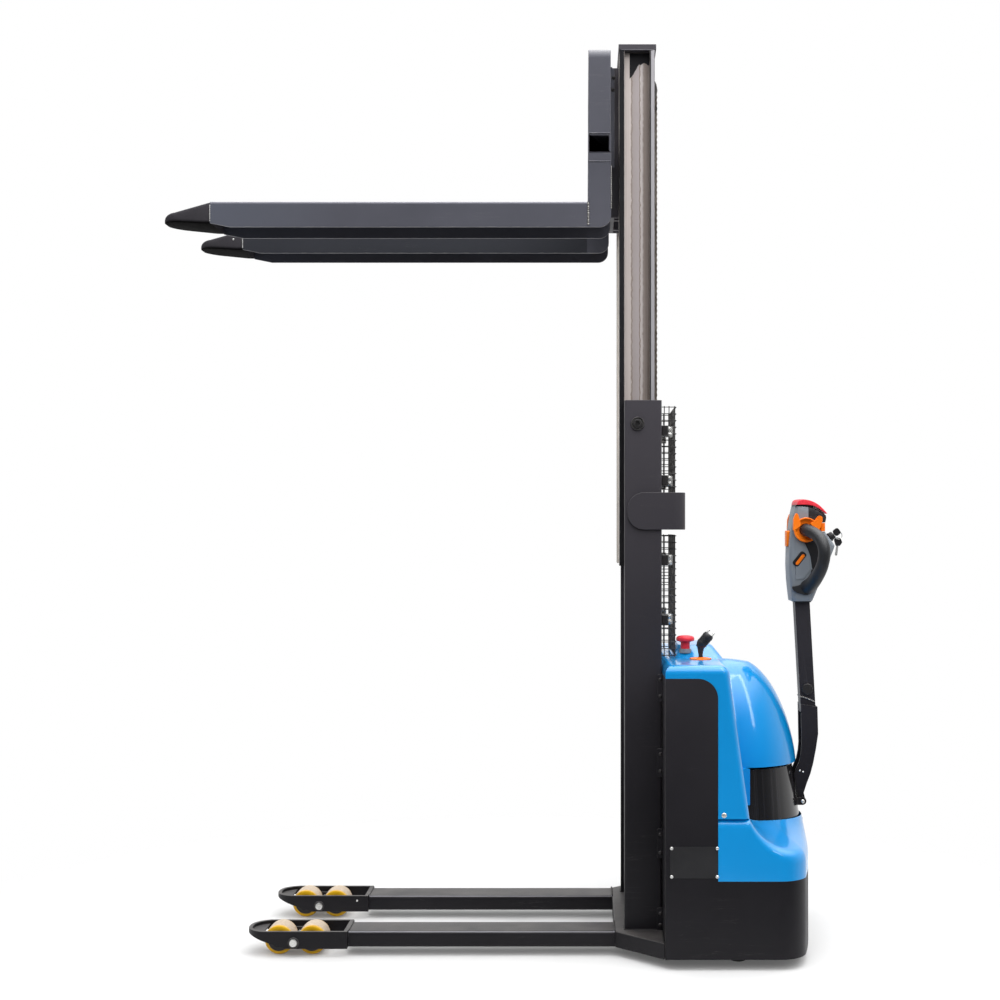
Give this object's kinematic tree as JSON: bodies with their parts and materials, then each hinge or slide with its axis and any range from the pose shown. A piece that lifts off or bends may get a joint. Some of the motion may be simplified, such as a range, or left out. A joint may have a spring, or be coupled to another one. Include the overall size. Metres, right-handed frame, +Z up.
{
  "type": "electric walkie stacker",
  "caption": "Walk-behind electric stacker with a two-stage chain mast, straddle legs, forks, steered drive unit and hinged tiller.",
  "frame": {"origin": "on the floor under the middle of the truck's length and width, mast raised", "axes": "+X from the fork tips to the operator, +Y across the truck, +Z up the mast"},
  "size_m": [1.88, 0.796, 2.48],
  "materials": {
    "black_paint": "satin black powder coat",
    "grey_paint": "satin dark grey powder coat",
    "rail_steel": "rolled steel, worn by the rollers",
    "chromed_rod": "hard chrome",
    "roller_steel": "turned steel, oiled",
    "chain_steel": "oiled leaf chain",
    "zinc_steel": "zinc plated",
    "black_steel": "blackened steel",
    "blue_cover": "glossy blue moulding",
    "gloss_black_cover": "glossy black moulding",
    "orange_plastic": "satin orange plastic",
    "red_plastic": "satin red plastic",
    "grey_plastic": "fine-grained grey plastic",
    "black_plastic": "black plastic",
    "black_rubber": "soft black rubber",
    "black_tyre": "black tyre",
    "yellow_polyurethane": "cast polyurethane tread"
  },
  "bodies": {
    "chassis": {"base_frame": "black_paint", "straddle_legs": "black_paint", "bogie_pins": "zinc_steel", "outer_rails": "black_paint", "outer_mast_tie": "black_paint", "outer_roller_pins": "black_steel", "mast_brace": "black_paint", "mesh_guard": "black_paint", "guard_clamps": "black_paint", "lift_cylinder": "black_paint", "lift_chain_rear": "chain_steel", "chassis_shell": "black_paint", "upper_hood": "blue_cover", "lower_hood": "blue_cover", "hood_screws": "zinc_steel", "charger_grommet": "orange_plastic", "charger_plug": "black_plastic", "battery_pack": "black_plastic", "pump_unit": "black_paint", "motor_controller": "black_plastic", "hydraulic_hose": "black_rubber"},
    "inner_mast": {"inner_rails": "rail_steel", "inner_top_plate": "black_paint", "piston_rod": "chromed_rod", "lift_chain_wraps": "chain_steel"},
    "carriage": {"carriage_frame": "black_paint", "carriage_beam": "grey_paint", "load_backrest": "grey_paint", "fork_left": "grey_paint", "fork_right": "grey_paint", "lift_chain_front": "chain_steel"},
    "steer_head": {"steering_collar": "gloss_black_cover", "drive_unit": "black_paint"},
    "tiller": {"tiller_arm": "black_paint", "tiller_head": "grey_plastic", "hand_grips": "black_rubber"},
    "chain_pulleys": {"chain_pulleys": "roller_steel"},
    "inner_rollers": {"inner_rollers": "roller_steel"},
    "outer_rollers": {"outer_rollers": "roller_steel"},
    "carriage_rollers_lower": {"carriage_rollers_lower": "roller_steel"},
    "carriage_rollers_upper": {"carriage_rollers_upper": "roller_steel"},
    "bogie_left": {"bogie_left": "black_paint"},
    "bogie_right": {"bogie_right": "black_paint"},
    "load_wheel_left_front": {"load_wheel_left_front": "yellow_polyurethane"},
    "load_wheel_left_rear": {"load_wheel_left_rear": "yellow_polyurethane"},
    "load_wheel_right_front": {"load_wheel_right_front": "yellow_polyurethane"},
    "load_wheel_right_rear": {"load_wheel_right_rear": "yellow_polyurethane"},
    "drive_wheel": {"drive_wheel": "black_tyre"},
    "caster_left": {"caster_left": "zinc_steel"},
    "caster_right": {"caster_right": "zinc_steel"},
    "caster_wheel_left": {"caster_wheel_left": "black_tyre"},
    "caster_wheel_right": {"caster_wheel_right": "black_tyre"},
    "thumb_levers": {"thumb_levers": "orange_plastic"},
    "reverse_button": {"reverse_button": "red_plastic"},
    "front_button": {"front_button": "orange_plastic"},
    "rear_button": {"rear_button": "orange_plastic"},
    "side_button_left": {"side_button_left": "orange_plastic"},
    "side_button_right": {"side_button_right": "orange_plastic"},
    "ignition_key": {"ignition_key": "black_plastic"},
    "estop_button": {"estop_button": "red_plastic"}
  },
  "joints": [
    {"name": "mast_lift", "type": "slide", "parent": "chassis", "child": "inner_mast", "axis": [0, 0, 1], "range_m": [-0.97, 0], "deforming": ["lift_chain_rear"]},
    {"name": "carriage_lift", "type": "slide", "parent": "inner_mast", "child": "carriage", "axis": [0, 0, 1], "range_m": [-0.97, 0], "deforming": ["lift_chain_front"]},
    {"name": "pulley_spin", "type": "hinge", "parent": "inner_mast", "child": "chain_pulleys", "pos_m": [0.352, 0, 2.386], "axis": [0, 1, 0], "continuous": true},
    {"name": "foot_roller_spin", "type": "hinge", "parent": "inner_mast", "child": "inner_rollers", "pos_m": [0.3595, 0, 1.102], "axis": [0, 1, 0], "continuous": true},
    {"name": "top_roller_spin", "type": "hinge", "parent": "chassis", "child": "outer_rollers", "pos_m": [0.3445, 0, 1.438], "axis": [0, 1, 0], "continuous": true},
    {"name": "carriage_lower_roller_spin", "type": "hinge", "parent": "carriage", "child": "carriage_rollers_lower", "pos_m": [0.3445, 0, 2.057], "axis": [0, 1, 0], "continuous": true},
    {"name": "carriage_upper_roller_spin", "type": "hinge", "parent": "carriage", "child": "carriage_rollers_upper", "pos_m": [0.3445, 0, 2.367], "axis": [0, 1, 0], "continuous": true},
    {"name": "steering", "type": "hinge", "parent": "chassis", "child": "steer_head", "pos_m": [0.632, 0, 0.16], "axis": [0, 0, 1], "range_deg": [-70, 70]},
    {"name": "drive_wheel_spin", "type": "hinge", "parent": "steer_head", "child": "drive_wheel", "pos_m": [0.632, 0, 0.115], "axis": [0, 1, 0], "continuous": true},
    {"name": "tiller_tilt", "type": "hinge", "parent": "steer_head", "child": "tiller", "pos_m": [0.818, 0, 0.382], "axis": [0, 1, 0], "range_deg": [0, 75], "stiffness_Nm_per_rad": 34, "springref_deg": -14.32},
    {"name": "thumb_lever_turn", "type": "hinge", "parent": "tiller", "child": "thumb_levers", "pos_m": [0.825, 0, 1.15], "axis": [0, 1, 0], "range_deg": [-25, 25], "stiffness_Nm_per_rad": 0.8},
    {"name": "reverse_button_press", "type": "slide", "parent": "tiller", "child": "reverse_button", "axis": [0, 0, 1], "range_m": [-0.004, 0], "stiffness_N_per_m": 1500, "springref_m": 0.004},
    {"name": "front_button_press", "type": "slide", "parent": "tiller", "child": "front_button", "axis": [1, 0, 0], "range_m": [0, 0.003], "stiffness_N_per_m": 800, "springref_m": -0.003},
    {"name": "rear_button_press", "type": "slide", "parent": "tiller", "child": "rear_button", "axis": [-1, 0, 0], "range_m": [0, 0.003], "stiffness_N_per_m": 800, "springref_m": -0.003},
    {"name": "side_button_left_press", "type": "slide", "parent": "tiller", "child": "side_button_left", "axis": [0, 1, 0], "range_m": [0, 0.003], "stiffness_N_per_m": 600, "springref_m": -0.003},
    {"name": "side_button_right_press", "type": "slide", "parent": "tiller", "child": "side_button_right", "axis": [0, -1, 0], "range_m": [0, 0.003], "stiffness_N_per_m": 600, "springref_m": -0.003},
    {"name": "key_turn", "type": "hinge", "parent": "tiller", "child": "ignition_key", "pos_m": [0.901, 0, 1.128], "axis": [0.8, 0, 0.6], "range_deg": [0, 40]},
    {"name": "estop_press", "type": "slide", "parent": "chassis", "child": "estop_button", "axis": [0, 0, 1], "range_m": [-0.006, 0], "stiffness_N_per_m": 1500, "springref_m": 0.004},
    {"name": "bogie_left_rock", "type": "hinge", "parent": "chassis", "child": "bogie_left", "pos_m": [-0.582, -0.203, 0.04], "axis": [0, 1, 0], "range_deg": [-4, 4]},
    {"name": "load_wheel_left_front_spin", "type": "hinge", "parent": "bogie_left", "child": "load_wheel_left_front", "pos_m": [-0.62675, -0.203, 0.04], "axis": [0, 1, 0], "continuous": true},
    {"name": "load_wheel_left_rear_spin", "type": "hinge", "parent": "bogie_left", "child": "load_wheel_left_rear", "pos_m": [-0.53725, -0.203, 0.04], "axis": [0, 1, 0], "continuous": true},
    {"name": "caster_left_swivel", "type": "hinge", "parent": "chassis", "child": "caster_left", "pos_m": [0.64, -0.29, 0.15], "axis": [0, 0, 1], "continuous": true},
    {"name": "caster_wheel_left_spin", "type": "hinge", "parent": "caster_left", "child": "caster_wheel_left", "pos_m": [0.61, -0.29, 0.05], "axis": [0, 1, 0], "continuous": true},
    {"name": "bogie_right_rock", "type": "hinge", "parent": "chassis", "child": "bogie_right", "pos_m": [-0.582, 0.203, 0.04], "axis": [0, 1, 0], "range_deg": [-4, 4]},
    {"name": "load_wheel_right_front_spin", "type": "hinge", "parent": "bogie_right", "child": "load_wheel_right_front", "pos_m": [-0.62675, 0.203, 0.04], "axis": [0, 1, 0], "continuous": true},
    {"name": "load_wheel_right_rear_spin", "type": "hinge", "parent": "bogie_right", "child": "load_wheel_right_rear", "pos_m": [-0.53725, 0.203, 0.04], "axis": [0, 1, 0], "continuous": true},
    {"name": "caster_right_swivel", "type": "hinge", "parent": "chassis", "child": "caster_right", "pos_m": [0.64, 0.29, 0.15], "axis": [0, 0, 1], "continuous": true},
    {"name": "caster_wheel_right_spin", "type": "hinge", "parent": "caster_right", "child": "caster_wheel_right", "pos_m": [0.61, 0.29, 0.05], "axis": [0, 1, 0], "continuous": true}
  ],
  "couplings": [
    {"joint": "carriage_lift", "follows": "mast_lift", "ratio": 1},
    {"joint": "pulley_spin", "follows": "mast_lift", "rad_per_m": 21.277},
    {"joint": "foot_roller_spin", "follows": "mast_lift", "rad_per_m": 26.316},
    {"joint": "top_roller_spin", "follows": "mast_lift", "rad_per_m": -29.412},
    {"joint": "carriage_lower_roller_spin", "follows": "mast_lift", "rad_per_m": 29.412},
    {"joint": "carriage_upper_roller_spin", "follows": "mast_lift", "rad_per_m": -29.412}
  ]
}
